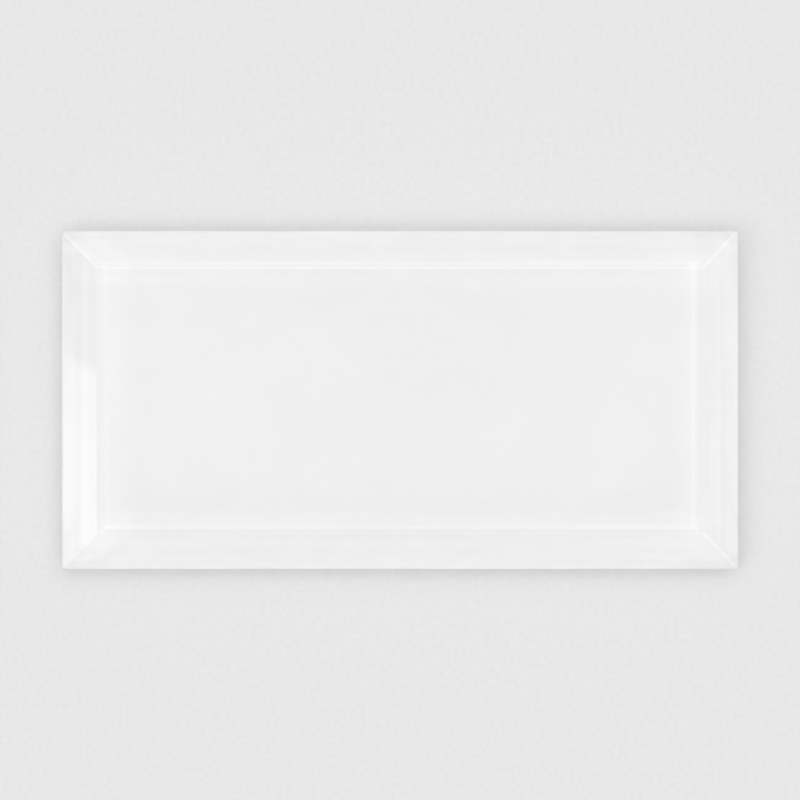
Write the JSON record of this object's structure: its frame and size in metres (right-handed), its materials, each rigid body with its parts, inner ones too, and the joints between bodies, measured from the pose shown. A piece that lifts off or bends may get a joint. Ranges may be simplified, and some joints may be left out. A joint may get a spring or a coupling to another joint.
{
  "type": "beveled glass tile",
  "caption": "Rectangular wall tile of clear glass with mitred beveled margins round a flat field, coated white on its back, laid edge to edge.",
  "frame": {"origin": "middle of the underside, on the outer side of the back coat", "axes": "+X along the tile, +Y across it, +Z out of its beveled face"},
  "size_m": [0.15, 0.075, 0.0082],
  "materials": {
    "clear_glass": "polished face and facets, finely ground edges",
    "white_coat": "opaque white paint film, matte behind, glossy where it is seen through the glass"
  },
  "bodies": {
    "root": {"glass_pane": "clear_glass", "back_coat": "white_coat"}
  },
  "joints": []
}
